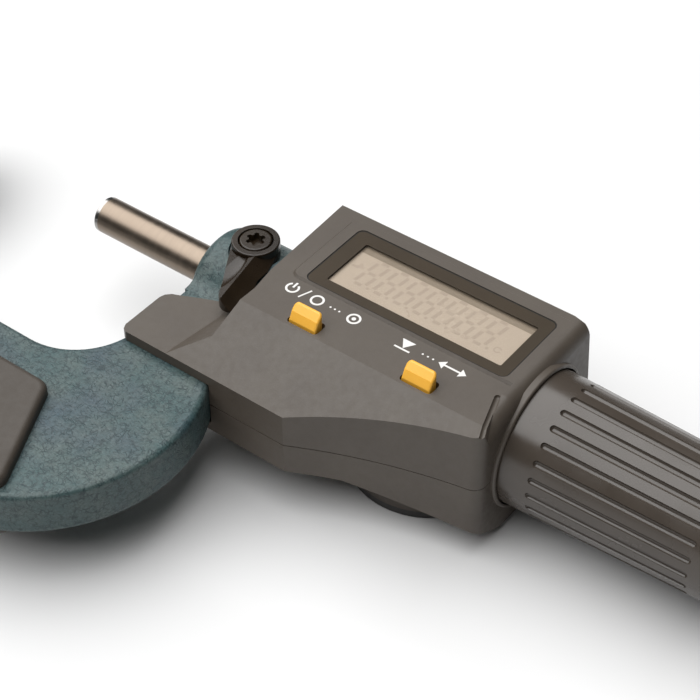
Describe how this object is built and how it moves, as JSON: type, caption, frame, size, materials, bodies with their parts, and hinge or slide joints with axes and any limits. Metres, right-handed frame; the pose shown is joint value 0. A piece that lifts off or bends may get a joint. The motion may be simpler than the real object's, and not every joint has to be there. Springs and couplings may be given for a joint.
{
  "type": "outside micrometer",
  "caption": "Digital outside micrometer with a C frame, flat measuring faces, display housing, spindle lock lever, ribbed thimble and ratchet knob.",
  "frame": {"origin": "centre of the anvil's measuring face", "axes": "+X along the spindle axis from the anvil to the thimble, +Z out of the display face, -Y into the throat of the frame"},
  "size_m": [0.2005, 0.0808, 0.0299],
  "materials": {
    "frame_enamel": "hammertone enamel",
    "ground_steel": "ground",
    "carbide": "lapped",
    "dark_steel": "black oxide",
    "zinc_steel": "zinc plated",
    "spring_steel": "drawn",
    "grip_plastic": "moulded",
    "housing_plastic": "moulded, fine texture",
    "cap_plastic": "moulded",
    "window_clear": "polished",
    "mask_ink": "printed",
    "lcd": "polished",
    "white_plastic": "moulded",
    "black_rubber": "moulded",
    "board_green": "solder mask",
    "chip_black": "moulded",
    "amber_plastic": "moulded",
    "thimble_plastic": "moulded",
    "core_aluminium": "turned",
    "satin_chrome": "satin",
    "brass": "turned"
  },
  "bodies": {
    "root": {"frame": "frame_enamel", "anvil": "ground_steel", "anvil_tip": "carbide", "front_grip_plate": "grip_plastic", "rear_grip_plate": "grip_plastic", "front_housing": "housing_plastic", "back_cover": "housing_plastic", "housing_screws": "zinc_steel", "display_window": "window_clear", "window_mask": "mask_ink", "lcd_panel": "lcd", "lcd_reflector": "white_plastic", "connector_strips": "black_rubber", "circuit_board": "board_green", "board_screws": "zinc_steel", "processor_chip": "chip_black", "crystal": "zinc_steel", "snap_domes": "spring_steel", "encoder_stator": "board_green", "stator_ring": "white_plastic", "thrust_ring": "brass", "guide_sleeve": "ground_steel", "inner_sleeve": "ground_steel", "outer_sleeve": "satin_chrome", "adjusting_nut": "zinc_steel", "lock_washer": "spring_steel", "lock_plug": "brass", "battery": "satin_chrome", "battery_holder": "white_plastic", "negative_contact": "spring_steel", "positive_contact": "spring_steel"},
    "rotor": {"encoder_rotor": "board_green", "rotor_bush": "brass", "rotor_spring": "spring_steel"},
    "spindle": {"spindle": "ground_steel", "spindle_tip": "carbide", "thimble_core": "core_aluminium", "thimble_nut": "zinc_steel", "thimble_sleeve": "thimble_plastic", "ratchet_driven_disc": "ground_steel", "ratchet_screw": "dark_steel"},
    "ratchet": {"ratchet_drive_disc": "ground_steel", "ratchet_spring": "spring_steel", "ratchet_knob": "thimble_plastic"},
    "lever": {"lock_lever": "dark_steel", "lock_screw": "dark_steel"},
    "left_button": {"left_button": "amber_plastic"},
    "right_button": {"right_button": "amber_plastic"},
    "cap": {"battery_cap": "cap_plastic", "cap_seal": "black_rubber"}
  },
  "joints": [
    {"name": "thimble_turn", "type": "hinge", "parent": "root", "child": "rotor", "pos_m": [0.079, 0, 0], "axis": [1, 0, 0], "range_deg": [-3600, 14400]},
    {"name": "spindle_feed", "type": "slide", "parent": "rotor", "child": "spindle", "axis": [1, 0, 0], "range_m": [-0.005, 0.02]},
    {"name": "ratchet_turn", "type": "hinge", "parent": "spindle", "child": "ratchet", "pos_m": [0.164, 0, 0], "axis": [1, 0, 0], "continuous": true},
    {"name": "lock_swing", "type": "hinge", "parent": "root", "child": "lever", "pos_m": [0.0638, 0.0003, 0.0095], "axis": [0, 0, 1], "range_deg": [-35, 0]},
    {"name": "left_press", "type": "slide", "parent": "root", "child": "left_button", "axis": [0, 0, -1], "range_m": [0, 0.0005], "stiffness_N_per_m": 1200, "springref_m": -0.0002},
    {"name": "right_press", "type": "slide", "parent": "root", "child": "right_button", "axis": [0, 0, -1], "range_m": [0, 0.0005], "stiffness_N_per_m": 1200, "springref_m": -0.0002},
    {"name": "cap_turn", "type": "hinge", "parent": "root", "child": "cap", "pos_m": [0.1004, -0.0019, -0.0144], "axis": [0, 0, 1], "range_deg": [0, 45]}
  ],
  "couplings": [
    {"joint": "thimble_turn", "follows": "spindle_feed", "rad_per_m": 12566}
  ]
}
